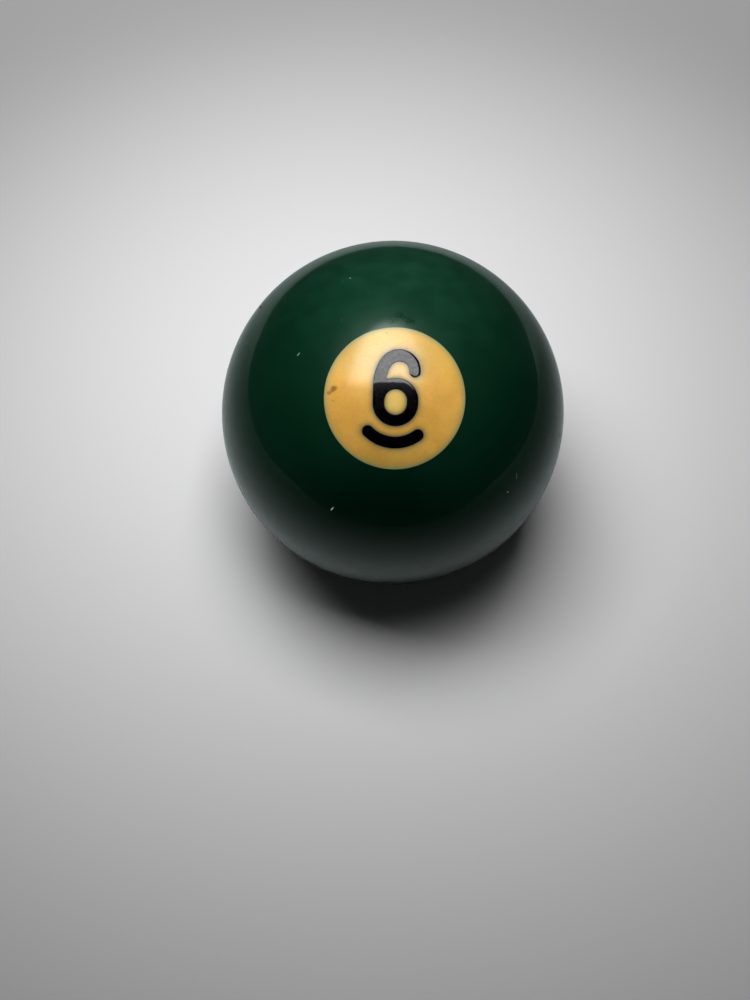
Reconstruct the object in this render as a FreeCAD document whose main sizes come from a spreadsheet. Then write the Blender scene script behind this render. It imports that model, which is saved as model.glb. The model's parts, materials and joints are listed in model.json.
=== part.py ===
import FreeCAD, Part
import math
import os

import Sketcher

# A numbered pool ball of cast resin, with a number disc inlaid on two opposite sides.
#
# Millimetres, +Z up, origin at the ball's centre. Each sub-part is drawn with its own
# +Z along the axis through both numbers and its own +Y towards the top of the numeral,
# and its Placement then tilts it to where the ball lies at rest: the front number faces
# up and towards -Y, the back number faces down and towards +Y.

V = FreeCAD.Vector

# Driving dimensions: name, value in mm or degrees. Heights and sideways places on the
# disc are counted from its centre, with the numeral upright.
DIMENSIONS = [
    ("ball_radius", 28.575),
    ("disc_radius", 9.525),
    ("disc_depth", 6.0),
    ("inlay_proud", 0.03),
    # what is left on each inlaid piece above the surface until its face is turned
    ("turning_stock", 1.0),
    ("number_tilt", 26.2),
    ("number_roll", -3.5),
    # the closed loop of the 6: two half circles joined by short straight sides
    ("loop_centre_x", 0.16),
    ("loop_upper_y", -0.49),
    ("loop_lower_y", -0.82),
    ("loop_outer_radius", 3.0),
    ("loop_inner_radius", 1.51),
    # the stem, a gentle arc up the left side
    ("stem_centre_y", 1.9),
    ("stem_outer_radius", 6.45),
    ("stem_inner_radius", 4.8),
    # the small round where the stem's inner side meets the top of the loop
    ("crotch_radius", 0.2),
    # the hook over the top, and its round end on the right
    ("hook_outer_x", 0.3),
    ("hook_outer_y", 3.6),
    ("hook_outer_radius", 2.86),
    ("hook_inner_x", 0.36),
    ("hook_inner_y", 3.45),
    ("hook_inner_radius", 1.34),
    ("hook_end_y", 3.55),
    # the curved bar under the 6
    ("bar_centre_x", 0.13),
    ("bar_centre_y", -0.88),
    ("bar_radius", 5.1),
    ("bar_half_width", 0.765),
    ("bar_half_angle", 41.0),
]
# The numeral and the bar take out at least this share of the disc.
LEAST_CUT_OUT = 0.05


def make_sheet(doc):
    sheet = doc.addObject("Spreadsheet::Sheet", "dims")
    sheet.Label = "dims"
    for row, (name, value) in enumerate(DIMENSIONS, start=1):
        sheet.set(f"A{row}", name)
        sheet.set(f"B{row}", str(value))
        sheet.setAlias(f"B{row}", name)
    doc.recompute()
    return sheet


def make_body(doc, name):
    body = doc.addObject("PartDesign::Body", name)
    body.Label = name
    return body


def make_sketch(body, name, role):
    """A sketch on one of the body's own origin planes."""
    plane = next(f for f in body.Origin.OriginFeatures if f.Role == role)
    sketch = body.newObject("Sketcher::SketchObject", name)
    sketch.AttachmentSupport = [(plane, "")]
    sketch.MapMode = "FlatFace"
    return sketch


def constrain(sketch, kind, *where):
    """Adds a constraint, such as ("Coincident", curve, end, curve, end)."""
    return sketch.addConstraint(Sketcher.Constraint(kind, *where))


def bind(sketch, expression, kind, *where):
    """Adds a dimension, whose first value comes last in where, and ties it to the sheet."""
    index = constrain(sketch, kind, *where)
    sketch.setExpression(f"Constraints[{index}]", expression)


def polar(x, y, radius, degrees):
    angle = math.radians(degrees)
    return V(x + radius * math.cos(angle), y + radius * math.sin(angle), 0)


def add_arc(sketch, x, y, radius, start, end):
    """An arc drawn counterclockwise from start to end, in degrees."""
    circle = Part.Circle(V(x, y, 0), V(0, 0, 1), radius)
    arc = Part.ArcOfCircle(circle, math.radians(start), math.radians(end))
    return sketch.addGeometry(arc, False)


def add_line(sketch, first, last):
    return sketch.addGeometry(Part.LineSegment(first, last), False)


def place_centre(sketch, arc, x=None, y=None):
    for kind, expression in (("DistanceX", x), ("DistanceY", y)):
        if expression:
            centre = sketch.Geometry[arc].Center
            value = centre.x if kind == "DistanceX" else centre.y
            bind(sketch, expression, kind, -1, 1, arc, 3, value)


def fix_radius(sketch, arc, expression):
    bind(sketch, expression, "Radius", arc, sketch.Geometry[arc].Radius)


def join_smoothly(sketch, ends):
    """Makes each pair of ends, (curve, end, curve, end), one point with one tangent."""
    for joint in ends:
        constrain(sketch, "Tangent", *joint)


def draw_six(sketch, sheet):
    """The outer outline of the 6, one closed chain of arcs and two straight sides.

    The angles are only a start near the answer: the tangent joints settle them.
    """
    loop_x, loop_r = sheet.loop_centre_x, sheet.loop_outer_radius
    stem_x = sheet.hook_outer_x + sheet.stem_outer_radius - sheet.hook_outer_radius
    end_r = (sheet.hook_outer_radius - sheet.hook_inner_radius) / 2
    end_x = sheet.hook_inner_x + sheet.hook_inner_radius + end_r

    bottom = add_arc(sketch, loop_x, sheet.loop_lower_y, loop_r, 183, 360)
    right = add_line(
        sketch,
        polar(loop_x, sheet.loop_lower_y, loop_r, 0),
        polar(loop_x, sheet.loop_upper_y, loop_r, 0),
    )
    top = add_arc(sketch, loop_x, sheet.loop_upper_y, loop_r, 0, 114)
    crotch_at = polar(loop_x, sheet.loop_upper_y, loop_r + sheet.crotch_radius, 114)
    crotch = add_arc(sketch, crotch_at.x, crotch_at.y, sheet.crotch_radius, 174, 294)
    stem_in = add_arc(
        sketch, stem_x, sheet.stem_centre_y, sheet.stem_inner_radius, 155, 174
    )
    hook_in = add_arc(
        sketch,
        sheet.hook_inner_x,
        sheet.hook_inner_y,
        sheet.hook_inner_radius,
        0,
        155,
    )
    end = add_arc(sketch, end_x, sheet.hook_end_y, end_r, 180, 360)
    hook_out = add_arc(
        sketch,
        sheet.hook_outer_x,
        sheet.hook_outer_y,
        sheet.hook_outer_radius,
        0,
        152,
    )
    stem_out = add_arc(
        sketch, stem_x, sheet.stem_centre_y, sheet.stem_outer_radius, 152, 183
    )
    left = add_line(
        sketch,
        polar(stem_x, sheet.stem_centre_y, sheet.stem_outer_radius, 183),
        polar(loop_x, sheet.loop_lower_y, loop_r, 183),
    )

    for arc, radius in (
        (bottom, "loop_outer_radius"),
        (top, "loop_outer_radius"),
        (crotch, "crotch_radius"),
        (stem_in, "stem_inner_radius"),
        (hook_in, "hook_inner_radius"),
        (hook_out, "hook_outer_radius"),
        (stem_out, "stem_outer_radius"),
    ):
        fix_radius(sketch, arc, f"dims.{radius}")
    place_centre(sketch, bottom, "dims.loop_centre_x", "dims.loop_lower_y")
    place_centre(sketch, top, "dims.loop_centre_x", "dims.loop_upper_y")
    place_centre(sketch, hook_in, "dims.hook_inner_x", "dims.hook_inner_y")
    place_centre(sketch, hook_out, "dims.hook_outer_x", "dims.hook_outer_y")
    place_centre(sketch, stem_in, y="dims.stem_centre_y")
    place_centre(sketch, stem_out, y="dims.stem_centre_y")
    place_centre(sketch, end, y="dims.hook_end_y")
    join_smoothly(
        sketch,
        [
            (bottom, 2, right, 1),
            (right, 2, top, 1),
            (top, 2, crotch, 2),
            (crotch, 1, stem_in, 2),
            (stem_in, 1, hook_in, 2),
            (hook_in, 1, end, 1),
            (end, 2, hook_out, 1),
            (hook_out, 2, stem_out, 1),
            (stem_out, 2, left, 1),
            (left, 2, bottom, 1),
        ],
    )


def draw_counter(sketch, sheet):
    """The island inside the loop: two half circles joined by straight sides."""
    x, radius = sheet.loop_centre_x, sheet.loop_inner_radius
    low, high = sheet.loop_lower_y, sheet.loop_upper_y
    bottom = add_arc(sketch, x, low, radius, 180, 360)
    right = add_line(sketch, polar(x, low, radius, 0), polar(x, high, radius, 0))
    top = add_arc(sketch, x, high, radius, 0, 180)
    left = add_line(sketch, polar(x, high, radius, 180), polar(x, low, radius, 180))
    fix_radius(sketch, bottom, "dims.loop_inner_radius")
    fix_radius(sketch, top, "dims.loop_inner_radius")
    place_centre(sketch, bottom, "dims.loop_centre_x", "dims.loop_lower_y")
    place_centre(sketch, top, "dims.loop_centre_x", "dims.loop_upper_y")
    join_smoothly(
        sketch,
        [
            (bottom, 2, right, 1),
            (right, 2, top, 1),
            (top, 2, left, 1),
            (left, 2, bottom, 1),
        ],
    )


def draw_bar(sketch, sheet):
    """The curved bar under the 6: two concentric arcs with round ends."""
    x, y = sheet.bar_centre_x, sheet.bar_centre_y
    middle, half = sheet.bar_radius, sheet.bar_half_width
    first, last = 270 - sheet.bar_half_angle, 270 + sheet.bar_half_angle
    left_at = polar(x, y, middle, first)
    right_at = polar(x, y, middle, last)
    outer = add_arc(sketch, x, y, middle + half, first, last)
    right = add_arc(sketch, right_at.x, right_at.y, half, last, last + 180)
    inner = add_arc(sketch, x, y, middle - half, first, last)
    left = add_arc(sketch, left_at.x, left_at.y, half, first - 180, first)
    fix_radius(sketch, outer, "dims.bar_radius + dims.bar_half_width")
    fix_radius(sketch, inner, "dims.bar_radius - dims.bar_half_width")
    place_centre(sketch, outer, "dims.bar_centre_x", "dims.bar_centre_y")
    constrain(sketch, "Coincident", outer, 3, inner, 3)
    reach = "dims.bar_radius * sin(dims.bar_half_angle * 1 deg)"
    place_centre(sketch, right, x=f"dims.bar_centre_x + {reach}")
    place_centre(sketch, left, x=f"dims.bar_centre_x - {reach}")
    join_smoothly(
        sketch,
        [
            (outer, 2, right, 1),
            (right, 2, inner, 2),
            (inner, 1, left, 1),
            (left, 2, outer, 1),
        ],
    )


def turn(body, feature, sketch):
    """Makes a revolved feature turn fully about the body's own Z axis."""
    feature.Profile = sketch
    feature.ReferenceAxis = (sketch, ["V_Axis"])
    feature.Angle = 360
    body.Tip = feature


def turn_ball(body, sheet):
    """A full sphere."""
    radius = sheet.ball_radius
    sketch = make_sketch(body, f"{body.Name}_half_disc", "XZ_Plane")
    arc = add_arc(sketch, 0, 0, radius, -90, 90)
    axis = add_line(sketch, V(0, radius, 0), V(0, -radius, 0))
    constrain(sketch, "Coincident", arc, 3, -1, 1)
    constrain(sketch, "Coincident", arc, 2, axis, 1)
    constrain(sketch, "Coincident", axis, 2, arc, 1)
    constrain(sketch, "PointOnObject", axis, 1, -2)
    constrain(sketch, "PointOnObject", axis, 2, -2)
    fix_radius(sketch, arc, "dims.ball_radius")
    turn(body, body.newObject("PartDesign::Revolution", f"{body.Name}_cast"), sketch)


def draw_box(sketch, low, high, low_is, high_is):
    """A rectangle on the body's axis, as wide as the disc, between two heights."""
    width = sketch.Document.dims.disc_radius
    corners = [V(0, low, 0), V(width, low, 0), V(width, high, 0), V(0, high, 0)]
    sides = [
        add_line(sketch, corners[i], corners[(i + 1) % len(corners)])
        for i in range(len(corners))
    ]
    for i, side in enumerate(sides):
        following = sides[(i + 1) % len(sides)]
        constrain(sketch, "Coincident", side, 2, following, 1)
        constrain(sketch, "Vertical" if i % 2 else "Horizontal", side)
    floor, roof = sides[0], sides[2]
    constrain(sketch, "PointOnObject", floor, 1, -2)
    bind(sketch, "dims.disc_radius", "DistanceX", floor, 1, floor, 2, width)
    bind(sketch, low_is, "DistanceY", -1, 1, floor, 1, low)
    bind(sketch, high_is, "DistanceY", -1, 1, roof, 1, high)


def bore_sockets(doc, body, sheet):
    """A blind round socket at the front number, and its mirror image at the back."""
    floor = sheet.ball_radius - sheet.disc_depth
    sketch = make_sketch(body, f"{body.Name}_socket_outline", "XZ_Plane")
    draw_box(
        sketch,
        floor,
        sheet.ball_radius + sheet.turning_stock,
        "dims.ball_radius - dims.disc_depth",
        "dims.ball_radius + dims.turning_stock",
    )
    socket = body.newObject("PartDesign::Groove", f"{body.Name}_front_socket")
    turn(body, socket, sketch)
    doc.recompute()
    opposite = body.newObject("PartDesign::Mirrored", f"{body.Name}_back_socket")
    opposite.Originals = [socket]
    plane = next(f for f in body.Origin.OriginFeatures if f.Role == "XY_Plane")
    opposite.MirrorPlane = (plane, [""])
    body.Tip = opposite


def cut_face(body, sheet, proud):
    """Turns a piece's outer face to a sphere about the ball's centre."""
    radius = sheet.ball_radius + proud
    width = sheet.disc_radius
    edge = math.sqrt(radius**2 - width**2)
    over = sheet.ball_radius + 2 * sheet.turning_stock
    sketch = make_sketch(body, f"{body.Name}_face_outline", "XZ_Plane")
    rim = math.degrees(math.acos(width / radius))
    face = add_arc(sketch, 0, 0, radius, rim, 90)
    middle = add_line(sketch, V(0, radius, 0), V(0, over, 0))
    roof = add_line(sketch, V(0, over, 0), V(width, over, 0))
    side = add_line(sketch, V(width, over, 0), V(width, edge, 0))
    chain = [(face, 2, middle, 1), (middle, 2, roof, 1), (roof, 2, side, 1)]
    for ends in chain + [(side, 2, face, 1)]:
        constrain(sketch, "Coincident", *ends)
    constrain(sketch, "Coincident", face, 3, -1, 1)
    constrain(sketch, "Vertical", middle)
    constrain(sketch, "Horizontal", roof)
    constrain(sketch, "Vertical", side)
    constrain(sketch, "PointOnObject", middle, 1, -2)
    extra = " + dims.inlay_proud" if proud else ""
    fix_radius(sketch, face, f"dims.ball_radius{extra}")
    bind(sketch, "dims.disc_radius", "DistanceX", roof, 1, roof, 2, width)
    over_is = "dims.ball_radius + 2 * dims.turning_stock"
    bind(sketch, over_is, "DistanceY", -1, 1, roof, 1, over)
    turn(body, body.newObject("PartDesign::Groove", f"{body.Name}_face"), sketch)


def make_slug(doc, body, sheet, draw_outlines):
    """A straight-sided piece from the socket's floor to just over the surface."""
    sketch = make_sketch(body, f"{body.Name}_outline", "XY_Plane")
    sketch.setExpression("AttachmentOffset.Base.z", "dims.ball_radius - dims.disc_depth")
    for draw in draw_outlines:
        draw(sketch, sheet)
    slug = body.newObject("PartDesign::Pad", f"{body.Name}_slug")
    slug.Profile = sketch
    slug.setExpression("Length", "dims.disc_depth + dims.turning_stock")
    body.Tip = slug
    doc.recompute()


def make_inlay(doc, name, sheet, draw_outlines, proud):
    """A slug of the given outlines, with its outer face turned to the ball's curve."""
    body = make_body(doc, name)
    make_slug(doc, body, sheet, draw_outlines)
    cut_face(body, sheet, proud)
    doc.recompute()
    return body


def draw_rim(sketch, sheet):
    """The disc's round outline."""
    circle = Part.Circle(V(0, 0, 0), V(0, 0, 1), sheet.disc_radius)
    rim = sketch.addGeometry(circle, False)
    constrain(sketch, "Coincident", rim, 3, -1, 1)
    fix_radius(sketch, rim, "dims.disc_radius")


def make_disc(doc, name, sheet):
    """The ivory disc, with the numeral and the bar cut right through it."""
    body = make_inlay(doc, name, sheet, [draw_rim], proud=0)
    whole = body.Shape.Volume
    sketch = make_sketch(body, f"{name}_inlay_outline", "XY_Plane")
    draw_six(sketch, sheet)
    draw_bar(sketch, sheet)
    cut = body.newObject("PartDesign::Pocket", f"{name}_inlay_cut")
    cut.Profile = sketch
    cut.Type = "ThroughAll"
    cut.Reversed = True
    body.Tip = cut
    doc.recompute()
    if body.Shape.Volume > (1 - LEAST_CUT_OUT) * whole:
        raise RuntimeError(f"{name}: the numeral was not cut out of the disc")
    return body


def place(body, sheet, facing_back):
    """Rolls the numeral about its own axis, then tilts the axis to where it rests."""
    tilt = sheet.number_tilt + (180 if facing_back else 0)
    roll = FreeCAD.Rotation(V(0, 0, 1), sheet.number_roll)
    body.Placement = FreeCAD.Placement(
        V(0, 0, 0), FreeCAD.Rotation(V(1, 0, 0), tilt) * roll
    )


def check(doc, bodies):
    for item in doc.Objects:
        if "Invalid" in item.State or "Error" in item.State:
            raise RuntimeError(f"{item.Name} did not build: {item.State}")
        if item.TypeId == "Sketcher::SketchObject":
            if item.solve() != 0 or not item.FullyConstrained:
                raise RuntimeError(f"{item.Name} is not a fully constrained sketch")
    for body in bodies:
        shape = body.Shape
        if shape.isNull() or not shape.isValid() or len(shape.Solids) != 1:
            raise RuntimeError(f"{body.Label} is not one valid solid")


def main():
    doc = FreeCAD.newDocument("pool_ball")
    sheet = make_sheet(doc)

    ball = make_body(doc, "ball_body")
    turn_ball(ball, sheet)
    doc.recompute()
    bore_sockets(doc, ball, sheet)
    place(ball, sheet, facing_back=False)
    bodies = [ball]

    for side in ("front", "back"):
        proud = sheet.inlay_proud
        number = [
            make_disc(doc, f"{side}_number_disc", sheet),
            make_inlay(
                doc, f"{side}_numeral_six", sheet, [draw_six, draw_counter], proud
            ),
            make_inlay(doc, f"{side}_counter_plug", sheet, [draw_counter], 0),
            make_inlay(doc, f"{side}_underline_bar", sheet, [draw_bar], proud),
        ]
        for body in number:
            place(body, sheet, facing_back=side == "back")
        bodies += number

    doc.recompute()
    check(doc, bodies)
    os.makedirs("parts", exist_ok=True)
    for body in bodies:
        body.Shape.exportStep(f"parts/{body.Label}.step")
        print(f"{body.Label}: {body.Shape.Volume:.3f} mm3")
    total = sum(body.Shape.Volume for body in bodies)
    sphere = 4 / 3 * math.pi * sheet.ball_radius**3
    print(f"all pieces: {total:.1f} mm3, a plain ball: {sphere:.1f} mm3")


main()
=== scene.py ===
"""A numbered pool ball of cast resin, lying on a pale floor.

Everything is in metres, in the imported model's frame: +Z up, the ball's centre at the
origin. A number is drawn flat, upright, about the centre of its disc, and is then bent
onto the ball. MM turns the drawing's millimetres into metres.
"""

import json
import math

import bmesh
import bpy
import numpy as np
from mathutils import Matrix, Vector, geometry


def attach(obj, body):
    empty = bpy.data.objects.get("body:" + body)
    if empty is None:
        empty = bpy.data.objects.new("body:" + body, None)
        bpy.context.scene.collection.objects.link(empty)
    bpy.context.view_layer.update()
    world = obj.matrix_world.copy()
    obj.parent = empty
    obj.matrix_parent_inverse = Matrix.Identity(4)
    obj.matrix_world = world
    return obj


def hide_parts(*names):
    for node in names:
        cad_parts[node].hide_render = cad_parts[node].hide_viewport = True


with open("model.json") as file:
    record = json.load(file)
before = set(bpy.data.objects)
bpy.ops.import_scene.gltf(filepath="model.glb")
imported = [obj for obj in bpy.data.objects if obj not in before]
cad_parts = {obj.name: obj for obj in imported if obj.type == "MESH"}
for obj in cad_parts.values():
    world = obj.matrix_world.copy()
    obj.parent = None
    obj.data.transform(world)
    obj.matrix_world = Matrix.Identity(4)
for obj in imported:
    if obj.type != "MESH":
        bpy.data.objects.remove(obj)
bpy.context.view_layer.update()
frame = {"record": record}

MM = 0.001

# ---------------------------------------------------------------- sizes from the frame

BALL_R = frame["record"]["size"]["bbox_m"][2] / 2
FLOOR_Z = -BALL_R

# The number's place on the ball, as the CAD model has it.
NUMBER_TILT = math.radians(26.2)
NUMBER_ROLL = math.radians(-3.5)
DISC_R = 9.525 * MM
DISC_DEPTH = 6.0 * MM

# Each number's turn about X, on top of its tilt.
SIDES = {"front": 0.0, "back": math.pi}


def number_frame(side):
    """The rotation from a number's own axes to the ball as it lies."""
    tilt = Matrix.Rotation(NUMBER_TILT + SIDES[side], 4, "X")
    return tilt @ Matrix.Rotation(NUMBER_ROLL, 4, "Z")


# ---------------------------------------------------------------- outlines, flat, in mm
#
# An outline is a closed loop of points with the direction that points out of it. It is
# made of arcs and straight sides that run on smoothly, so that moving each point along
# its direction gives the outline of the same shape, larger or smaller.

OUTLINE_STEP = 0.09
# How closely the hook's end is placed.
HOOK_GAP = 1e-6


def arc(centre, radius, start, end, outward=1):
    """Points along an arc, from start to end in degrees, either way round."""
    length = abs(math.radians(end - start)) * radius
    count = max(2, round(length / OUTLINE_STEP))
    angles = np.radians(np.linspace(start, end, count, endpoint=False))
    normal = np.stack([np.cos(angles), np.sin(angles)], axis=1)
    return np.array(centre) + radius * normal, outward * normal


def straight(first, last):
    """Points along a straight side that has the outside on its right."""
    first, last = np.array(first), np.array(last)
    along = last - first
    length = np.linalg.norm(along)
    count = max(2, round(length / OUTLINE_STEP))
    steps = np.linspace(0, 1, count, endpoint=False)[:, None]
    normal = np.array([along[1], -along[0]]) / length
    return first + steps * along, np.repeat(normal[None], count, axis=0)


def closed(*stretches):
    """The outline that these stretches make, end to end."""
    points, normals = zip(*stretches)
    return np.concatenate(points), np.concatenate(normals)


def on_circle(centre, radius, degrees):
    angle = math.radians(degrees)
    x = centre[0] + radius * math.cos(angle)
    return x, centre[1] + radius * math.sin(angle)


def angle_of(point, centre):
    return math.degrees(math.atan2(point[1] - centre[1], point[0] - centre[0])) % 360


def beside(near, reach, height):
    """The x of a point at that height and that far from near, on its right."""
    return near[0] + math.sqrt(reach**2 - (height - near[1]) ** 2)


def meeting(a, reach_a, b, reach_b):
    """Where circles about a and b cross, on the left of the way from b to a."""
    a, b = np.array(a), np.array(b)
    gap = np.linalg.norm(b - a)
    along = (reach_a**2 - reach_b**2 + gap**2) / (2 * gap)
    off = math.sqrt(reach_a**2 - along**2)
    way = (b - a) / gap
    return tuple(a + along * way + off * np.array([-way[1], way[0]]))


# The closed loop of the 6.
LOOP_UPPER = (0.16, -0.49)
LOOP_LOWER = (0.16, -0.82)
LOOP_OUTER_R = 3.0
LOOP_INNER_R = 1.51
# Its stem and hook.
STEM_Y = 1.9
STEM_OUTER_R = 6.45
STEM_INNER_R = 4.8
CROTCH_R = 0.2
HOOK_OUTER = (0.3, 3.6)
HOOK_OUTER_R = 2.86
HOOK_INNER = (0.36, 3.45)
HOOK_INNER_R = 1.34
HOOK_END_Y = 3.55
# The curved bar under it.
BAR_CENTRE = (0.13, -0.88)
BAR_R = 5.1
BAR_HALF_WIDTH = 0.765
BAR_HALF_ANGLE = 41.0


def hook_end():
    """Centre and radius of the round end that touches both sides of the hook."""

    def spare(x):
        to_outer = math.dist((x, HOOK_END_Y), HOOK_OUTER)
        to_inner = math.dist((x, HOOK_END_Y), HOOK_INNER)
        return HOOK_OUTER_R + HOOK_INNER_R - to_outer - to_inner

    low, high = HOOK_INNER[0], HOOK_OUTER[0] + HOOK_OUTER_R
    while high - low > HOOK_GAP:
        middle = (low + high) / 2
        low, high = (middle, high) if spare(middle) > 0 else (low, middle)
    centre = (low, HOOK_END_Y)
    return centre, HOOK_OUTER_R - math.dist(centre, HOOK_OUTER)


def six_outline():
    stem_out = (beside(HOOK_OUTER, STEM_OUTER_R - HOOK_OUTER_R, STEM_Y), STEM_Y)
    stem_in = (beside(HOOK_INNER, STEM_INNER_R - HOOK_INNER_R, STEM_Y), STEM_Y)
    crotch = meeting(
        LOOP_UPPER, LOOP_OUTER_R + CROTCH_R, stem_in, STEM_INNER_R - CROTCH_R
    )
    end, end_r = hook_end()
    # the straight left side touches the stem's outer arc and the bottom of the loop
    gap = math.dist(stem_out, LOOP_LOWER)
    lean = math.degrees(math.acos((STEM_OUTER_R - LOOP_OUTER_R) / gap))
    left = angle_of(LOOP_LOWER, stem_out) - lean
    at_crotch = angle_of(crotch, LOOP_UPPER)
    up_stem = angle_of(crotch, stem_in)
    in_turn = angle_of(HOOK_INNER, stem_in)
    end_in = angle_of(end, HOOK_INNER)
    end_out = angle_of(end, HOOK_OUTER) - 360
    out_turn = angle_of(HOOK_OUTER, stem_out)
    return closed(
        arc(LOOP_LOWER, LOOP_OUTER_R, left, 360),
        straight(
            on_circle(LOOP_LOWER, LOOP_OUTER_R, 0),
            on_circle(LOOP_UPPER, LOOP_OUTER_R, 0),
        ),
        arc(LOOP_UPPER, LOOP_OUTER_R, 0, at_crotch),
        arc(crotch, CROTCH_R, at_crotch + 180, up_stem, outward=-1),
        arc(stem_in, STEM_INNER_R, up_stem, in_turn, outward=-1),
        arc(HOOK_INNER, HOOK_INNER_R, in_turn, end_in, outward=-1),
        arc(end, end_r, end_in + 180, end_out + 360),
        arc(HOOK_OUTER, HOOK_OUTER_R, end_out, out_turn),
        arc(stem_out, STEM_OUTER_R, out_turn, left),
        straight(
            on_circle(stem_out, STEM_OUTER_R, left),
            on_circle(LOOP_LOWER, LOOP_OUTER_R, left),
        ),
    )


def counter_outline():
    r = LOOP_INNER_R
    return closed(
        arc(LOOP_LOWER, r, 180, 360),
        straight(on_circle(LOOP_LOWER, r, 0), on_circle(LOOP_UPPER, r, 0)),
        arc(LOOP_UPPER, r, 0, 180),
        straight(on_circle(LOOP_UPPER, r, 180), on_circle(LOOP_LOWER, r, 180)),
    )


def bar_outline():
    first, last = 270 - BAR_HALF_ANGLE, 270 + BAR_HALF_ANGLE
    return closed(
        arc(BAR_CENTRE, BAR_R + BAR_HALF_WIDTH, first, last),
        arc(on_circle(BAR_CENTRE, BAR_R, last), BAR_HALF_WIDTH, last, last + 180),
        arc(BAR_CENTRE, BAR_R - BAR_HALF_WIDTH, last, first, outward=-1),
        arc(on_circle(BAR_CENTRE, BAR_R, first), BAR_HALF_WIDTH, first - 180, first),
    )


def disc_outline():
    return arc((0, 0), DISC_R / MM, 0, 360)


# ---------------------------------------------------------------- meshes

# Points on a face: close together in a band along every edge, wider apart elsewhere.
FINE_STEP = 0.16
FINE_BAND = 0.55
COARSE_STEP = 0.4
# A fine point this close to the edge, as a share of the step, would make slivers.
FINE_CLEAR = 0.45
# How many points are measured against an outline at once, to save memory.
BATCH = 500
# Points of an outline closer than this, in mm, would be joined.
JOIN_GAP = 1e-7

# How the edges of the inlaid pieces are finished: how far the black ones stand proud,
# how wide they roll off, the small round at every edge, and the flat ring inside it.
PROUD = 0.020 * MM
PILLOW = 0.30 * MM
RIM_ROUND = 0.015 * MM
GUARD = 0.08 * MM
PILLOW_ROWS = 7
ROUND_TURNS = (30, 60, 90)
# Edges that bend by more than this are drawn sharp.
SHARP_ANGLE = math.radians(50)


def inside(points, loop):
    """Which points lie inside a closed loop, by counting crossings."""
    x, y = points[:, 0], points[:, 1]
    found = np.zeros(len(points), bool)
    for (x0, y0), (x1, y1) in zip(loop, np.roll(loop, -1, axis=0)):
        crosses = (y0 > y) != (y1 > y)
        with np.errstate(divide="ignore", invalid="ignore"):
            at = x0 + (y - y0) / (y1 - y0) * (x1 - x0)
        found ^= crosses & (x < at)
    return found


def between(points, loops):
    """Which points lie inside the first loop and outside all the others."""
    found = inside(points, loops[0])
    for hole in loops[1:]:
        found &= ~inside(points, hole)
    return found


def grid_points(low, high, spacing):
    """A triangular grid of points over a rectangle."""
    rows = np.arange(low[1], high[1], spacing * math.sqrt(3) / 2)
    columns = np.arange(low[0], high[0], spacing)
    shifts = [spacing / 2 if i % 2 else 0 for i in range(len(rows))]
    return np.array(
        [(x + shift, y) for shift, y in zip(shifts, rows) for x in columns]
    )


def distance_to(points, others):
    """How far each point is from the nearest of the others."""
    batches = (points[i : i + BATCH, None] for i in range(0, len(points), BATCH))
    nearest = [np.linalg.norm(b - others[None], axis=2).min(1) for b in batches]
    return np.concatenate(nearest)


def points_between(loops):
    """Points between the first loop and the others, closer together near them."""
    low, high = loops[0].min(0), loops[0].max(0)
    edge_points = np.concatenate(loops)
    kept = []
    for spacing, nearest, farthest in (
        (FINE_STEP, FINE_CLEAR * FINE_STEP, FINE_BAND),
        (COARSE_STEP, FINE_BAND, math.inf),
    ):
        grid = grid_points(low, high, spacing)
        grid = grid[between(grid, loops)]
        gaps = distance_to(grid, edge_points)
        kept.append(grid[(gaps > nearest) & (gaps <= farthest)])
    return np.concatenate(kept)


def fill_flat(loops, extra):
    """Triangles between a first, outer loop and the others, which are holes in it.

    The triangles count the loops' points first and then the extra ones.
    """
    edges, offset = [], 0
    for loop in loops:
        count = len(loop)
        edges += [(offset + i, offset + (i + 1) % count) for i in range(count)]
        offset += count
    points = np.concatenate([*loops, extra])
    result = geometry.delaunay_2d_cdt(
        [Vector(p) for p in points], edges, [], 0, JOIN_GAP, True
    )
    if len(result[0]) != len(points):
        raise RuntimeError("the outline's points ran together")
    source = [origin[0] for origin in result[3]]
    faces = np.array([[source[v] for v in face] for face in result[2]])
    faces = faces[between(points[faces].mean(1), loops)]
    a, b, c = (points[faces[:, i]] for i in range(3))
    turned = (b - a)[:, 0] * (c - a)[:, 1] - (b - a)[:, 1] * (c - a)[:, 0] < 0
    faces[turned] = faces[turned][:, ::-1]
    return faces


def lift(points, height):
    """Bends flat points onto a sphere about the ball's centre, in metres."""
    flat = points * MM
    radius = BALL_R + height
    z = np.sqrt(radius**2 - (flat**2).sum(1))
    return np.column_stack([flat, z])


def edge_rows(proud):
    """The edge of an inlaid piece, from its face outwards: (inset, height) in metres.

    A proud piece rolls off over a wide pillow. Then comes the small round at the edge.
    """
    if proud:
        rows = [(PILLOW + GUARD, proud)]
        for share in np.linspace(0, 1, PILLOW_ROWS):
            inset = PILLOW + (RIM_ROUND - PILLOW) * share
            rows.append((inset, proud * (1 - share**2)))
    else:
        rows = [(RIM_ROUND + GUARD, 0.0), (RIM_ROUND, 0.0)]
    for angle in np.radians(ROUND_TURNS):
        inset = RIM_ROUND * (1 - math.sin(angle))
        rows.append((inset, -RIM_ROUND * (1 - math.cos(angle))))
    return rows


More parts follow.
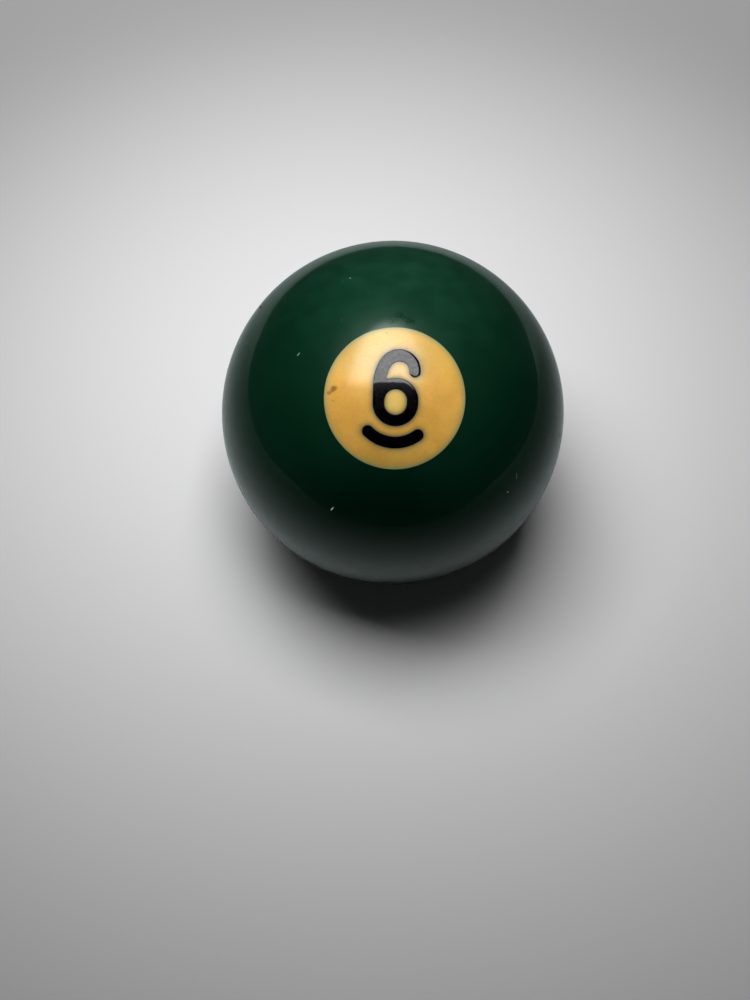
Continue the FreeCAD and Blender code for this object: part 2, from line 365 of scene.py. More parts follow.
def plug_mesh(name, outer, holes, proud):
    """A closed piece: a domed face, rounded edges, straight walls and a flat base."""
    loops = [outer] + [(points, -normals) for points, normals in holes]
    rows = edge_rows(proud)
    verts, faces = [], []

    def add_verts(more):
        verts.append(more)
        return sum(len(v) for v in verts[:-1])

    # rings of vertices down each loop, and the quads between them
    rings = []
    for points, normals in loops:
        down = [lift(points - normals * (inset / MM), height) for inset, height in rows]
        base = np.full(len(points), BALL_R - DISC_DEPTH)
        down.append(np.column_stack([points * MM, base]))
        rings.append([add_verts(ring) for ring in down])
    for (points, _), starts in zip(loops, rings):
        count = len(points)
        for upper, lower in zip(starts, starts[1:]):
            for k in range(count):
                n = (k + 1) % count
                quad = (upper + k, lower + k, lower + n, upper + n)
                faces.append(quad if starts is rings[0] else quad[::-1])

    # the face, with points of its own, and the base, which has none
    inset, height = rows[0]
    top = [points - normals * (inset / MM) for points, normals in loops]
    spread = points_between(top)
    index = [starts[0] + np.arange(len(loop)) for starts, loop in zip(rings, top)]
    index.append(add_verts(lift(spread, height)) + np.arange(len(spread)))
    faces += [tuple(face) for face in np.concatenate(index)[fill_flat(top, spread)]]
    base = [points for points, _ in loops]
    index = [starts[-1] + np.arange(len(loop)) for starts, loop in zip(rings, base)]
    flat = np.concatenate(index)[fill_flat(base, np.zeros((0, 2)))]
    faces += [tuple(face[::-1]) for face in flat]
    return make_mesh(name, np.concatenate(verts), faces)


def make_mesh(name, verts, faces):
    mesh = bpy.data.meshes.new(name)
    mesh.from_pydata(verts.tolist(), [], [tuple(int(i) for i in f) for f in faces])
    mesh.validate()
    mesh.shade_smooth()
    mesh.set_sharp_from_angle(angle=SHARP_ANGLE)
    return mesh


BALL_SEGMENTS = 400
BALL_STEP = 0.45 * MM


def ball_profile():
    """Half of the green ball's section: (radius, height) from one end to the other."""
    floor_z = BALL_R - DISC_DEPTH
    profile = [(0.0, floor_z), (DISC_R / 2, floor_z), (DISC_R, floor_z)]
    for turn in np.radians(ROUND_TURNS[::-1]):
        r = DISC_R + RIM_ROUND * (1 - math.sin(turn))
        drop = RIM_ROUND * (1 - math.cos(turn))
        profile.append((r, math.sqrt(BALL_R**2 - r**2) - drop))
    rim = math.asin(DISC_R / BALL_R)
    count = round((math.pi - 2 * rim) * BALL_R / BALL_STEP)
    past_round = rim + RIM_ROUND / BALL_R
    past_guard = past_round + GUARD / BALL_R
    for angle in (past_round, *np.linspace(past_guard, math.pi / 2, count // 2)):
        profile.append((BALL_R * math.sin(angle), BALL_R * math.cos(angle)))
    return profile + [(r, -z) for r, z in reversed(profile[:-1])]


def ball_mesh(name):
    """The green ball, turned about the number's axis, with a socket at each end."""
    profile = ball_profile()
    turns = np.linspace(0, 2 * math.pi, BALL_SEGMENTS, endpoint=False)
    verts = [np.array([[0, 0, profile[0][1]]])]
    for r, z in profile[1:-1]:
        ring = [r * np.cos(turns), r * np.sin(turns), np.full(BALL_SEGMENTS, z)]
        verts.append(np.column_stack(ring))
    verts.append(np.array([[0, 0, profile[-1][1]]]))
    faces = []
    ring_starts = [1 + i * BALL_SEGMENTS for i in range(len(profile) - 2)]
    last = ring_starts[-1] + BALL_SEGMENTS
    for k in range(BALL_SEGMENTS):
        n = (k + 1) % BALL_SEGMENTS
        faces.append((0, 1 + k, 1 + n))
        for a, b in zip(ring_starts, ring_starts[1:]):
            faces.append((a + k, b + k, b + n, a + n))
        faces.append((ring_starts[-1] + n, ring_starts[-1] + k, last))
    return make_mesh(name, np.concatenate(verts), faces)


# The ball's chips: the angle off the number's axis and the angle round it from the
# reader's right, both in degrees; length, width and depth in mm; the heading of the
# length, in degrees from "round the axis" towards "to the axis"; and how pale it is, or
# below zero, how dark with dirt.
CHIPS = (
    (37.3, -115.5, 0.95, 0.24, 78, 0.050, 1.0),
    (46.8, -32.7, 0.36, 0.24, -47, 0.035, 1.0),
    (45.9, -25.5, 1.36, 0.12, 47, 0.010, 0.55),
    (39.5, -2.2, 0.26, 0.20, 66, 0.010, 0.12),
    (40.9, 114.1, 0.36, 0.24, 147, 0.025, 0.45),
    (47.6, 113.7, 0.40, 0.14, 79, 0.012, 0.2),
    (47.8, 110.3, 0.24, 0.14, 8, 0.012, 0.15),
    (43.8, 112.3, 0.50, 0.14, 113, 0.012, 0.18),
    (37.6, 116.5, 0.20, 0.14, 147, 0.012, 0.15),
    (40.5, 117.2, 0.70, 0.14, 79, 0.012, 0.15),
    (40.1, 110.1, 0.20, 0.14, 154, 0.012, 0.15),
    (43.2, 132.6, 0.27, 0.18, 123, 0.020, 0.3),
    (38.3, 142.7, 0.24, 0.16, 117, 0.015, 0.25),
    (33.9, 125.1, 1.10, 0.12, 33, 0.008, 0.12),
    (27.2, 128.2, 0.60, 0.14, 33, 0.010, 0.2),
    (30.9, 158.8, 0.78, 0.18, 161, 0.015, 0.5),
    (50.7, 140.5, 0.55, 0.20, 144, 0.012, 0.2),
    (36.0, 157.1, 0.20, 0.16, 106, 0.010, 0.18),
    (61.4, -90.9, 0.24, 0.20, 15, 0.040, -0.9),
    (62.2, -49.0, 0.42, 0.24, -63, 0.040, -0.9),
    (61.5, -122.0, 0.30, 0.18, 62, 0.030, -0.8),
    (67.8, -115.5, 0.38, 0.18, 65, 0.030, -0.8),
    (66.0, 146.8, 2.00, 0.36, 90, 0.090, -1.0),
    (67.9, -3.8, 1.10, 0.36, 72, 0.080, -1.0),
    # on the sides that face away
    (75.0, 60.0, 0.50, 0.22, 40, 0.045, 0.8),
    (98.0, 128.0, 0.35, 0.25, 110, 0.040, 0.6),
    (84.0, -160.0, 0.80, 0.12, 20, 0.015, 0.3),
    (112.0, 22.0, 0.40, 0.20, 75, 0.040, 0.7),
    (105.0, -80.0, 0.30, 0.22, 10, 0.035, -0.9),
    (128.0, 95.0, 0.45, 0.20, 60, 0.040, 0.7),
)
# A chip is cut on faces divided this finely, this far past its ends in mm.
CHIP_CUTS = 7
CHIP_MARGIN = 0.25


def direction(off_axis, round_axis):
    """The direction at one angle off the number's axis and another round it."""
    off, turn = math.radians(off_axis), math.radians(round_axis)
    return Vector(
        (math.sin(off) * math.cos(turn), math.sin(off) * math.sin(turn), math.cos(off))
    )


def chip_axes(off_axis, round_axis, heading):
    """Where a chip is, and the directions of its length and width, on a unit ball."""
    out = direction(off_axis, round_axis)
    turn, heading = math.radians(round_axis), math.radians(heading)
    sideways = Vector((-math.sin(turn), math.cos(turn), 0))
    along = math.cos(heading) * sideways + math.sin(heading) * out.cross(sideways)
    return out, along, out.cross(along)


def cut_chip(shape, layer, chip):
    """Presses one chip into the ball, a shallow oval bowl."""
    off_axis, round_axis, length, width, heading, depth, paleness = chip
    out, along, across = chip_axes(off_axis, round_axis, heading)
    length, width, depth = length * MM, width * MM, depth * MM
    centre = out * BALL_R
    reach = length / 2 + CHIP_MARGIN * MM
    faces = [f for f in shape.faces if (f.calc_center_median() - centre).length < reach]
    edges = list({e for f in faces for e in f.edges})
    bmesh.ops.subdivide_edges(shape, edges=edges, cuts=CHIP_CUTS, use_grid_fill=True)
    for v in shape.verts:
        way = v.co - centre
        if way.length > reach + BALL_STEP:
            continue
        r = math.hypot(way.dot(along) / (length / 2), way.dot(across) / (width / 2))
        share = max(0.0, 1 - r * r)
        v.co = v.co.normalized() * (BALL_R - depth * share)
        if share:
            v[layer] = paleness * min(1.0, 2 * share)


def cut_chips(mesh):
    """Presses the chips into the ball, and stores how pale each vertex is."""
    shape = bmesh.new()
    shape.from_mesh(mesh)
    layer = shape.verts.layers.float.new("chip")
    for chip in CHIPS:
        cut_chip(shape, layer, chip)
    shape.to_mesh(mesh)
    shape.free()


# How far the painted shade beside the ink and the line along the disc's rim reach, in
# mm.
INK_SHADE_FADE = 0.34
RIM_LINE = 1.1


def note_edges(mesh, inks, rim_radius):
    """Stores how near each point of an ivory piece is to the ink and the disc's rim."""
    flat = np.array([v.co[:2] for v in mesh.vertices]) / MM
    near_ink = np.exp(-distance_to(flat, np.concatenate(inks)) / INK_SHADE_FADE)
    from_rim = rim_radius - np.linalg.norm(flat, axis=1)
    near_rim = np.clip(1 - from_rim / RIM_LINE, 0, 1) ** 2
    for name, values in (("near_ink", near_ink), ("near_rim", near_rim)):
        layer = mesh.attributes.new(name, "FLOAT", "POINT")
        layer.data.foreach_set("value", values)


# ---------------------------------------------------------------- materials
#
# Colours are linear, as the shader takes them. Places and sizes of marks are in mm on
# the number's own plane, with its centre at 0, 0 and its headings in degrees.

RESIN_IOR = 1.6
# A mark on the curved face may stand this far off its own plane.
MARK_HEIGHT = 6.0


class Look:
    """A material, and what it takes to write its node tree."""

    def __init__(self, name):
        self.material = bpy.data.materials.new(name)
        self.material.use_nodes = True
        self.tree = self.material.node_tree
        self.shader = self.tree.nodes["Principled BSDF"]

    def add(self, kind, **settings):
        node = self.tree.nodes.new(kind)
        for key, value in settings.items():
            if key in node.inputs:
                node.inputs[key].default_value = value
            else:
                setattr(node, key, value)
        return node

    def link(self, source, target):
        self.tree.links.new(source, target)

    def set(self, **values):
        """Gives each of the shader's inputs its uniform value."""
        for name, value in values.items():
            self.shader.inputs[name.replace("_", " ")].default_value = value

    def drive(self, name, source):
        """Lets a socket drive one of the shader's inputs."""
        self.link(source, self.shader.inputs[name])

    def math(self, operation, first, second):
        """Combines two values, each a socket or a number."""
        node = self.add("ShaderNodeMath", operation=operation)
        for socket, value in zip(node.inputs, (first, second)):
            if isinstance(value, (int, float)):
                socket.default_value = value
            else:
                self.link(value, socket)
        return node.outputs[0]

    def times(self, first, second):
        return self.math("MULTIPLY", first, second)

    def without(self, share):
        """What is left of 1 when a share of it is gone."""
        return self.math("SUBTRACT", 1.0, share)

    def mix(self, share, first, second):
        """Blends two colours, each a socket or a tuple, by a share that is a socket."""
        node = self.add("ShaderNodeMix", data_type="RGBA")
        self.link(share, node.inputs["Factor"])
        for socket, value in zip((node.inputs[6], node.inputs[7]), (first, second)):
            if isinstance(value, tuple):
                socket.default_value = (*value, 1)
            else:
                self.link(value, socket)
        return node.outputs[2]

    def fade(self, value, start, end, low=0.0, high=1.0):
        """Runs smoothly from low, at the value's start, to high, at its end."""
        node = self.add("ShaderNodeMapRange", interpolation_type="SMOOTHSTEP")
        self.link(value, node.inputs["Value"])
        for name, number in (
            ("From Min", start),
            ("From Max", end),
            ("To Min", low),
            ("To Max", high),
        ):
            node.inputs[name].default_value = number
        return node.outputs[0]

    def place(self, output="Object"):
        return self.add("ShaderNodeTexCoord").outputs[output]

    def length(self, vector):
        node = self.add("ShaderNodeVectorMath", operation="LENGTH")
        self.link(vector, node.inputs[0])
        return node.outputs["Value"]

    def split(self, vector):
        node = self.add("ShaderNodeSeparateXYZ")
        self.link(vector, node.inputs[0])
        return node.outputs

    def number_space(self):
        """The surface point in the front number's own axes, in millimetres."""
        turned = self.add("ShaderNodeMapping", vector_type="TEXTURE")
        turned.inputs["Rotation"].default_value = number_frame("front").to_euler()
        turned.inputs["Scale"].default_value = (MM, MM, MM)
        self.link(self.place(), turned.inputs["Vector"])
        return turned.outputs[0]

    def noise(self, vector, scale, detail, roughness, output="Fac"):
        node = self.add(
            "ShaderNodeTexNoise", Scale=scale, Detail=detail, Roughness=roughness
        )
        self.link(vector, node.inputs["Vector"])
        return node.outputs[output]

    def drift(
        self,
        vector,
        scale,
        low=0.0,
        high=1.0,
        detail=4.0,
        roughness=0.6,
        ends=(0.3, 0.7),
    ):
        """A value that drifts between low and high in soft clouds.

        The ends are the values of the noise at which it reaches low and high.
        """
        cloud = self.noise(vector, scale, detail, roughness)
        return self.fade(cloud, *ends, low, high)

    def grain(self, vector, scale, low):
        """The fine orange peel of old polish, as a value between low and 1."""
        return self.drift(
            vector, scale, low, detail=3.0, roughness=0.7, ends=(0.35, 0.65)
        )

    def ragged(self, vector, scale, amount):
        """The same place, moved about a little so that a mark's edge is uneven."""
        node = self.add("ShaderNodeVectorMath", operation="MULTIPLY_ADD")
        moved = self.noise(vector, scale, detail=3.0, roughness=0.5, output="Color")
        self.link(moved, node.inputs[0])
        node.inputs[1].default_value = (amount, amount, amount)
        self.link(vector, node.inputs[2])
        centred = self.add("ShaderNodeVectorMath", operation="SUBTRACT")
        self.link(node.outputs[0], centred.inputs[0])
        centred.inputs[1].default_value = (amount / 2, amount / 2, amount / 2)
        return centred.outputs[0]

    def mark(self, vector, at, size, heading=0.0, inner=0.0, reach=MARK_HEIGHT):
        """An oval mark: 0 outside it, and 1 within the inner share of its radius."""
        height = math.sqrt((BALL_R / MM) ** 2 - at[0] ** 2 - at[1] ** 2)
        local = self.add("ShaderNodeMapping", vector_type="TEXTURE")
        local.inputs["Location"].default_value = (*at, height)
        local.inputs["Rotation"].default_value = (0, 0, math.radians(heading))
        local.inputs["Scale"].default_value = (size[0] / 2, size[1] / 2, reach)
        self.link(vector, local.inputs["Vector"])
        return self.fade(self.length(local.outputs[0]), 1.0, inner)

    def attribute(self, name):
        return self.add("ShaderNodeAttribute", attribute_name=name).outputs["Fac"]

    def polish(self, bloom, coat_roughness, coat_ior=RESIN_IOR):
        """Polished resin: a clear mirror finish over a faint, wider bloom."""
        self.set(
            IOR=RESIN_IOR,
            Specular_IOR_Level=bloom,
            Coat_Weight=1.0,
            Coat_Roughness=coat_roughness,
            Coat_IOR=coat_ior,
        )


GREEN_DARK, GREEN_LIGHT = (0.0032, 0.0290, 0.0142), (0.0042, 0.0345, 0.0175)
GREEN_BLOOM, GREEN_COAT_ROUGHNESS = 0.42, 0.05
# Painted shade: the green is darkened below the number, where less light falls on it.
SHADED_BELOW = {"at": (-1.5, -15.5), "size": (36.0, 20.0), "reach": 20.0}
DARKEST_SHADE_SHARE = 0.42
# Painted light: the green is lighter above the number, where more light falls, with one
# lighter streak. Dust takes the same tint.
LIT_TOP = {"at": (1.5, 23.7), "size": (58.0, 58.0), "reach": 29.0}
LIT_TOP_AND_DUST_TINT = (0.036, 0.12, 0.077)
LIT_TOP_LEAST, LIT_TOP_MOST = 0.18, 0.35
STREAK = {"at": (-17.0, 10.6), "size": (10.0, 2.4), "heading": 19}
STREAK_SHARE, DUST_SHARE = 0.04, 0.06
# The roughness of the bloom where it is least and most cloudy.
BLOOM_LEAST, BLOOM_MOST = 0.34, 0.40
# The bloom is wiped in a smudge above the number, whose blots have a place, a size and
# a heading. Wiping lowers the roughness, and takes away a share of the mirror finish.
SMUDGE_BLOTS = (
    ((-0.2, 11.3), (3.6, 2.3), -22),
    ((1.3, 10.6), (3.2, 2.1), -15),
    ((-1.0, 10.4), (2.3, 1.8), 0),
)
WIPED_BY, SMUDGE_DULLS = 0.22, 0.8
# What a chip shows: broken resin, or old dirt.
BROKEN_DARK, BROKEN_PALE = (0.22, 0.30, 0.26), (0.85, 0.95, 0.9)
DIRT = (0.002, 0.003, 0.003)


def green_material():
    look = Look("green_resin")
    look.polish(GREEN_BLOOM, GREEN_COAT_ROUGHNESS)
    place = look.number_space()
    colour = look.mix(look.drift(place, scale=0.09), GREEN_DARK, GREEN_LIGHT)
    # painted shade, darkening the green below the number
    shaded_below = look.times(look.mark(place, **SHADED_BELOW), DARKEST_SHADE_SHARE)
    colour = look.mix(shaded_below, colour, (0.0, 0.0, 0.0))
    # painted light, lightening the green above the number; the dust below is real
    lit_top = look.mark(place, **LIT_TOP)
    clouds = look.drift(place, scale=0.35, low=LIT_TOP_LEAST, high=LIT_TOP_MOST)
    lit_top = look.times(lit_top, clouds)
    streak = look.mark(look.ragged(place, scale=0.4, amount=2.0), **STREAK)
    lit_top = look.math("ADD", lit_top, look.times(streak, STREAK_SHARE))
    dust = look.drift(
        place, scale=1.6, high=DUST_SHARE, detail=5.0, roughness=0.75, ends=(0.5, 0.8)
    )
    colour = look.mix(look.math("ADD", lit_top, dust), colour, LIT_TOP_AND_DUST_TINT)
    # the polish has a faint bloom all over, which the smudge wipes out in blotches
    ragged = look.ragged(place, scale=1.2, amount=0.6)
    smudge = 0.0
    for blot in SMUDGE_BLOTS:
        smudge = look.math("MAXIMUM", smudge, look.mark(ragged, *blot))
    blotchy = look.drift(place, scale=3.0, low=0.55, detail=3.0, ends=(0.4, 0.6))
    smudge = look.times(smudge, blotchy)
    bloom = look.drift(place, scale=0.35, low=BLOOM_LEAST, high=BLOOM_MOST)
    roughness = look.math("SUBTRACT", bloom, look.times(smudge, WIPED_BY))
    # chips have no polish: fresh ones show pale, broken resin, and old ones hold dirt
    chip = look.attribute("chip")
    grit = look.noise(place, scale=14.0, detail=3.0, roughness=0.7)
    broken = look.mix(grit, BROKEN_DARK, BROKEN_PALE)
    colour = look.mix(look.fade(chip, 0.0, 1.0), colour, broken)
    colour = look.mix(look.fade(chip, 0.0, -1.0), colour, DIRT)
    look.drive("Base Color", colour)
    depth = look.math("ABSOLUTE", chip, 0.0)
    look.drive("Roughness", look.math("MAXIMUM", roughness, depth))
    unbroken = look.without(depth)
    unwiped = look.without(look.times(smudge, SMUDGE_DULLS))
    unworn = look.times(unbroken, unwiped)
    grain = look.grain(place, scale=3.5, low=0.86)
    look.drive("Coat Weight", look.times(unworn, grain))
    return look.material


IVORY_DARK, IVORY_LIGHT = (0.615, 0.390, 0.097), (0.70, 0.468, 0.132)
# The island inside the loop has stayed paler.
ISLAND_DARK, ISLAND_LIGHT = (0.66, 0.48, 0.150), (0.72, 0.555, 0.196)
IVORY_BLOOM, IVORY_COAT_ROUGHNESS, IVORY_COAT_IOR = 0.19, 0.29, 1.78
IVORY_SMOOTHEST, IVORY_ROUGHEST = 0.07, 0.15
# The disc is more amber at its left. Its colour is greyer towards its top, painted
# shade over the highlight there, and darker at its bottom, painted shade where less
# light falls.
AMBER_PATCH = {"at": (-7.0, -2.5), "size": (13.0, 16.0)}
AMBER, AMBER_SHARE = (0.47, 0.255, 0.050), 0.30
TOP_SHADE_PATCH = {"at": (-1.5, 6.3), "size": (26.0, 11.0), "inner": 0.3}
TOP_SHADE, TOP_SHADE_SHARE = (0.46, 0.345, 0.115), 0.50
BOTTOM_SHADE_PATCH = {"at": (0.0, -10.0), "size": (22.0, 10.0)}
BOTTOM_SHADE, BOTTOM_SHADE_SHARE = (0.30, 0.235, 0.045), 0.36
FLECK_DARKER, FLECK_SHARE = 0.78, 0.08
# the first colour here is painted shade beside the black ink
INK_EDGE_SHADE, RIM_GREY = (0.155, 0.145, 0.085), (0.33, 0.325, 0.175)
BROWN, RUST = (0.17, 0.095, 0.025), (0.27, 0.15, 0.045)
# Stains and specks: place, size, heading, how strong, and the colour.
STAINS = (
    ((-8.25, 0.55), (1.50, 1.05), 35, 0.70, BROWN),
    ((-8.85, 0.0), (0.95, 0.70), 50, 0.6, BROWN),
    ((-8.2, -1.05), (0.80, 0.55), 0, 0.3, RUST),
    ((-1.75, 8.54), (0.42, 0.34), 0, 0.55, RUST),
    ((-2.88, 6.94), (0.26, 0.26), 0, 0.45, RUST),
    ((-4.37, -4.0), (0.60, 0.40), 50, 0.30, RUST),
)
STAIN_INNER = 0.3
# How far the worn ivory swells and dips between the extremes of its noise.
WAVE_HEIGHT = 0.020 * MM
# How far light wanders inside the ivory, and its share in red, green and blue.
GLOW_DEPTH, GLOW_SHARES = 0.5 * MM, (1.0, 0.6, 0.3)


def ivory_material(name, dark, light):
    look = Look(name)
    look.polish(IVORY_BLOOM, IVORY_COAT_ROUGHNESS, IVORY_COAT_IOR)
    place = look.number_space()
    colour = look.mix(look.drift(place, scale=0.25), dark, light)
    amber = look.mark(look.ragged(place, scale=0.3, amount=2.0), **AMBER_PATCH)
    colour = look.mix(look.times(amber, AMBER_SHARE), colour, AMBER)
    # painted shade: the disc's top is greyer and less red where the highlight falls
    top_shade = look.mark(place, **TOP_SHADE_PATCH)
    colour = look.mix(look.times(top_shade, TOP_SHADE_SHARE), colour, TOP_SHADE)
    # painted shade: the disc is darker towards its bottom, where less light falls
    bottom_shade = look.mark(place, **BOTTOM_SHADE_PATCH)
    colour = look.mix(look.times(bottom_shade, BOTTOM_SHADE_SHARE), colour, BOTTOM_SHADE)
    flecks = look.drift(
        place, scale=2.2, high=FLECK_SHARE, roughness=0.7, ends=(0.35, 0.75)
    )
    colour = look.mix(flecks, colour, tuple(FLECK_DARKER * c for c in dark))
    # painted shade beside the ink, where light inside the ivory is lost into the black,
    # and the joint line round the rim
    colour = look.mix(look.attribute("near_ink"), colour, INK_EDGE_SHADE)
    colour = look.mix(look.attribute("near_rim"), colour, RIM_GREY)
    ragged = look.ragged(place, scale=2.0, amount=0.45)
    for at, size, heading, strength, tint in STAINS:
        stain = look.mark(ragged, at, size, heading, STAIN_INNER)
        colour = look.mix(look.times(stain, strength), colour, tint)
    look.drive("Base Color", colour)
    # the ivory has lost much of its mirror finish, unevenly, and is a little wavy
    roughness = look.drift(
        place, scale=0.9, low=IVORY_SMOOTHEST, high=IVORY_ROUGHEST, roughness=0.65
    )
    look.drive("Roughness", roughness)
    look.drive("Coat Weight", look.grain(place, scale=3.0, low=0.66))
    waves = look.add("ShaderNodeBump", Strength=1.0, Distance=WAVE_HEIGHT)
    swell = look.noise(place, scale=0.8, detail=3.0, roughness=0.6)
    look.link(swell, waves.inputs["Height"])
    look.drive("Normal", waves.outputs["Normal"])
    look.set(
        Subsurface_Weight=1.0,
        Subsurface_Scale=GLOW_DEPTH,
        Subsurface_Radius=GLOW_SHARES,
    )
    return look.material


BLACK_DARK, BLACK_LIGHT = (0.0018, 0.0016, 0.0028), (0.0034, 0.0032, 0.0050)
BLACK_BLOOM, BLACK_COAT_ROUGHNESS = 0.16, 0.05
BLACK_SMOOTHEST, BLACK_ROUGHEST = 0.22, 0.32


def black_material():
    look = Look("black_resin")
    look.polish(BLACK_BLOOM, BLACK_COAT_ROUGHNESS)
    place = look.number_space()
    colour = look.mix(look.drift(place, scale=0.8), BLACK_DARK, BLACK_LIGHT)
    look.drive("Base Color", colour)
    roughness = look.drift(
        place, scale=0.6, low=BLACK_SMOOTHEST, high=BLACK_ROUGHEST, detail=3.0
    )
    look.drive("Roughness", roughness)
    look.drive("Coat Weight", look.grain(place, scale=2.6, low=0.72))
    return look.material


green, black = green_material(), black_material()
ivory = ivory_material("ivory_resin", IVORY_DARK, IVORY_LIGHT)
pale_ivory = ivory_material("pale_ivory_resin", ISLAND_DARK, ISLAND_LIGHT)

# ---------------------------------------------------------------- the pieces


def add_piece(name, mesh, node, material, side="front"):
    """Turns a mesh to its number's place and puts it in for its CAD node."""
    mesh.transform(number_frame(side))
    mesh.materials.append(material)
    piece = bpy.data.objects.new(name, mesh)
    bpy.context.scene.collection.objects.link(piece)
    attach(piece, "root")
    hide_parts(node)
    return piece


ball_shape = ball_mesh("green_ball")
cut_chips(ball_shape)
add_piece("green_ball", ball_shape, "ball_body", green)
rim, six, counter, bar = disc_outline(), six_outline(), counter_outline(), bar_outline()
for side_name in SIDES:
    for part_name, outer, holes, proud, slot, material in (
        ("number_disc", rim, [six, bar], 0.0, "ivory_resin", ivory),
        ("numeral_six", six, [counter], PROUD, "black_resin", black),
        ("counter_plug", counter, [], 0.0, "ivory_resin", pale_ivory),
        ("underline_bar", bar, [], PROUD, "black_resin", black),
    ):
        node = f"{side_name}_{part_name}"
        mesh = plug_mesh(f"{node}_shape", outer, holes, proud)
        if slot == "ivory_resin":
            note_edges(mesh, [six[0], bar[0], counter[0]], DISC_R / MM)
        add_piece(f"{node}_inlay", mesh, node, material, side_name)

# ---------------------------------------------------------------- camera

# Where the photo was taken from, fitted to the outlines of the ball and the disc.
CAMERA_AT = Vector((-1.40, -65.23, 106.15)) * MM
CAMERA_PITCH = math.radians(25.0)
CAMERA_TURN = math.radians(1.32)
CAMERA_LENS, CAMERA_SENSOR = 25.92, 36.0
CLIP_NEAR, CLIP_FAR = 0.005, 50.0

camera = bpy.data.objects.new("camera", bpy.data.cameras.new("camera"))
camera.data.lens = CAMERA_LENS
camera.data.sensor_width = CAMERA_SENSOR
camera.data.clip_start = CLIP_NEAR
camera.data.clip_end = CLIP_FAR
camera.location = CAMERA_AT
camera.rotation_euler = (CAMERA_PITCH, 0.0, CAMERA_TURN)
bpy.context.scene.collection.objects.link(camera)
bpy.context.scene.camera = camera

# ---------------------------------------------------------------- floor
#
# The pale floor is what the camera sees, and it throws light up at the ball. What the
# ball mirrors is a mat just under it, because cloth looks duller at a slant. The mat's
# grey
# is also painted light and shade: lighter near the ball, behind it and on the left,
# darker farther out.

FLOOR_HALF = 3.0
FLOOR_ALBEDO, FLOOR_BLUER = 0.80, 1.01
# Far from the ball, where the near light does not reach, the floor glows to stay pale.
PALE_FROM, PALE_TO = 0.15, 0.36
PALE_GLOW = 0.56

MAT_LOW = Vector((-245, -175)) * MM
MAT_HIGH = Vector((278, 190)) * MM
MAT_DROP = 0.05 * MM
# How light the mat is near the ball and farther out, and how much more far behind it:
# painted light and shade.
MIRRORED_NEAR, MIRRORED_FAR, MIRRORED_BEHIND = 0.43, 0.24, 0.20
NEAR_REACH, FAR_REACH = 0.045, 0.120
BEHIND_FROM, BEHIND_TO = 0.070, 0.130
# It is also a little lighter on the left than on the right.
MIRRORED_LEFT, MIRRORED_RIGHT = 0.12, 0.02
LEFT_REACH, RIGHT_REACH = -0.245, 0.200
MIRRORED_TINT = (0.90, 1.0, 0.99)


def flat_piece(name, low, high, z, material):
    """A rectangle of the stage, which casts no shadow."""
    corners = [(low.x, low.y, z), (high.x, low.y, z), (high.x, high.y, z)]
    corners.append((low.x, high.y, z))
    mesh = bpy.data.meshes.new(name)
    mesh.from_pydata(corners, [], [(0, 1, 2, 3)])
    mesh.materials.append(material)
    piece = bpy.data.objects.new(name, mesh)
    piece.visible_shadow = False
    bpy.context.scene.collection.objects.link(piece)
    return piece


def floor_material():
    look = Look("pale_cloth")
    pale = (FLOOR_ALBEDO, FLOOR_ALBEDO, FLOOR_BLUER * FLOOR_ALBEDO, 1)
    look.set(Base_Color=pale, Roughness=1.0, Specular_IOR_Level=0.0)
    glow = look.fade(look.length(look.place()), PALE_FROM, PALE_TO, 0.0, PALE_GLOW)
    look.drive("Emission Strength", glow)
    look.set(Emission_Color=(1, 1, 1, 1))
    return look.material


def mat_material():
    look = Look("mirrored_cloth")
    place = look.place()
    # the grey is painted light and shade, set by place on the mat
    grey = look.fade(
        look.length(place), NEAR_REACH, FAR_REACH, MIRRORED_NEAR, MIRRORED_FAR
    )
    x, y, _ = look.split(place)
    behind = look.fade(y, BEHIND_FROM, BEHIND_TO, 0.0, MIRRORED_BEHIND)
    aside = look.fade(x, LEFT_REACH, RIGHT_REACH, MIRRORED_LEFT, MIRRORED_RIGHT)
    grey = look.math("ADD", look.math("ADD", grey, behind), aside)
    look.drive("Base Color", look.mix(grey, (0.0, 0.0, 0.0), MIRRORED_TINT))
    look.set(Roughness=1.0, Specular_IOR_Level=0.0)
    return look.material


far = Vector((FLOOR_HALF, FLOOR_HALF))
floor = flat_piece("pale_floor", -far, far, FLOOR_Z, floor_material())
floor.visible_glossy = False
mat_z = FLOOR_Z - MAT_DROP
mat = flat_piece("mirrored_mat", MAT_LOW, MAT_HIGH, mat_z, mat_material())
mat.visible_camera = False
mat.visible_diffuse = False

# ---------------------------------------------------------------- light

# The softbox as the ball mirrors it. Its sides are softer towards its upper end, which
# fades out. The places where it softens are shares of its length.
PANEL_AT = Vector((-40, 254, 672)) * MM
PANEL_FACES = Vector((0, 0.633, -0.774))
PANEL_SIZE = Vector((362, 860)) * MM
PANEL_RADIANCE = 5.0
PANEL_SOFT_LOW, PANEL_SOFT_HIGH = 0.07, 0.5
PANEL_SOFTENS_FROM, PANEL_SOFTENS_TO = 0.3, 0.8
PANEL_SOFT_TOP = 0.67

# The same light as the floor and the colours receive it: lower and nearer.
WASH_AT = Vector((-18, 20.7, 161)) * MM
WASH_FACES = Vector((0.130, 0.444, -0.887))
WASH_SIZE = Vector((110.6, 106.9)) * MM
WASH_RADIANCE = 11.6

# The room as the colours receive it, as the ball mirrors it, and as the camera sees it.
ROOM_LIGHT, ROOM_MIRRORED = 0.040, 0.008
ROOM_SEEN = (0.6, 0.6, 0.61)

# The tone curve of the camera that took the photo.
TONE_GAMMA = 0.8
TONE_BLACK = 0.003


def turned_to(facing):
    return facing.to_track_quat("-Z", "Y").to_euler()


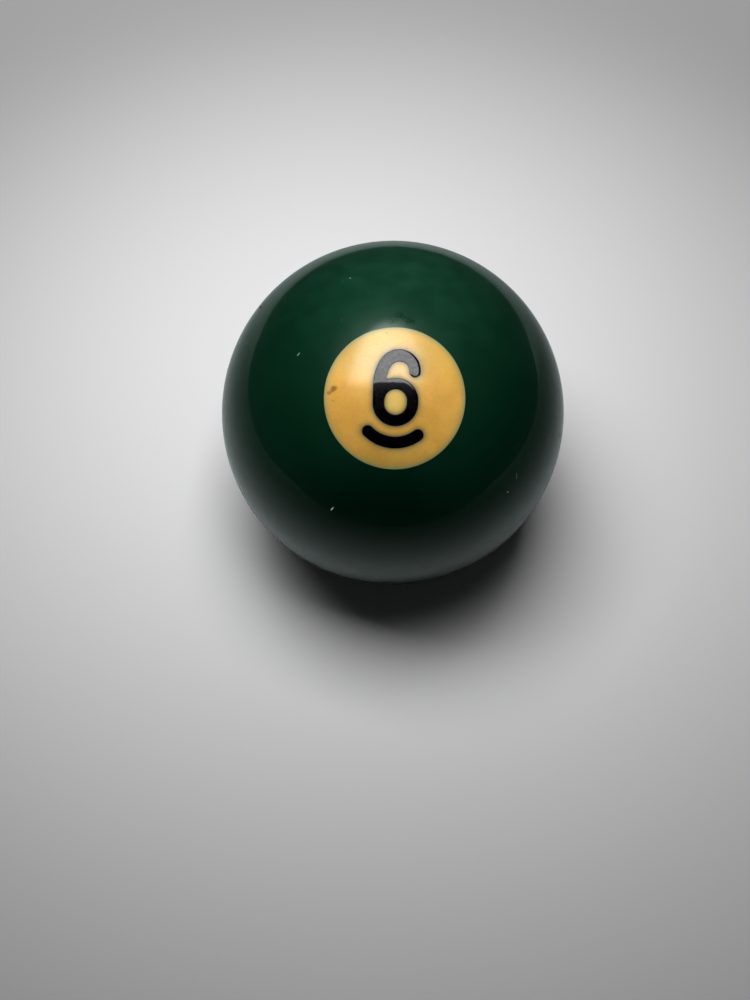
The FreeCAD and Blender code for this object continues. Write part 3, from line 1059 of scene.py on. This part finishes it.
def panel_material():
    """Glows evenly, but fades towards its sides and its upper end."""
    look = Look("softbox_glow")
    x, y, _ = look.split(look.place("Generated"))
    soft = look.fade(
        y, PANEL_SOFTENS_FROM, PANEL_SOFTENS_TO, PANEL_SOFT_LOW, PANEL_SOFT_HIGH
    )
    from_left = look.fade(look.math("DIVIDE", x, soft), 0.0, 1.0)
    from_right = look.fade(look.math("DIVIDE", look.without(x), soft), 0.0, 1.0)
    from_top = look.fade(y, 1.0, 1.0 - PANEL_SOFT_TOP)
    even = look.times(look.times(from_left, from_right), from_top)
    glow = look.add("ShaderNodeEmission")
    look.link(look.times(even, PANEL_RADIANCE), glow.inputs["Strength"])
    look.link(glow.outputs[0], look.tree.nodes["Material Output"].inputs["Surface"])
    return look.material


def make_panel():
    half = PANEL_SIZE / 2
    panel = flat_piece("softbox", -half, half, 0.0, panel_material())
    panel.location = PANEL_AT
    panel.rotation_euler = turned_to(PANEL_FACES)
    panel.visible_camera = False
    panel.visible_diffuse = False


def make_wash():
    light = bpy.data.lights.new("softbox_wash", "AREA")
    light.shape = "RECTANGLE"
    light.size, light.size_y = WASH_SIZE
    light.energy = WASH_RADIANCE * math.pi * WASH_SIZE.x * WASH_SIZE.y
    wash = bpy.data.objects.new("softbox_wash", light)
    wash.location = WASH_AT
    wash.rotation_euler = turned_to(WASH_FACES)
    wash.visible_glossy = False
    wash.visible_camera = False
    bpy.context.scene.collection.objects.link(wash)


def make_world():
    """The room, which differs by the kind of ray that meets it."""
    world = bpy.data.worlds.new("studio")
    world.use_nodes = True
    tree = world.node_tree
    ray = tree.nodes.new("ShaderNodeLightPath")
    shown = tree.nodes["Background"]
    shown.inputs["Color"].default_value = (1, 1, 1, 1)
    shown.inputs["Strength"].default_value = ROOM_LIGHT
    for kind, colour, strength in (
        ("Is Glossy Ray", (1, 1, 1), ROOM_MIRRORED),
        ("Is Camera Ray", ROOM_SEEN, 1.0),
    ):
        other = tree.nodes.new("ShaderNodeBackground")
        other.inputs["Color"].default_value = (*colour, 1)
        other.inputs["Strength"].default_value = strength
        mix = tree.nodes.new("ShaderNodeMixShader")
        tree.links.new(ray.outputs[kind], mix.inputs["Fac"])
        tree.links.new(shown.outputs[0], mix.inputs[1])
        tree.links.new(other.outputs[0], mix.inputs[2])
        shown = mix
    tree.links.new(shown.outputs[0], tree.nodes["World Output"].inputs["Surface"])
    bpy.context.scene.world = world


def set_tone():
    view = bpy.context.scene.view_settings
    view.view_transform = "Standard"
    view.gamma = TONE_GAMMA
    view.use_curve_mapping = True
    view.curve_mapping.black_level = (TONE_BLACK,) * 3
    view.curve_mapping.update()


make_panel()
make_wash()
make_world()
set_tone()
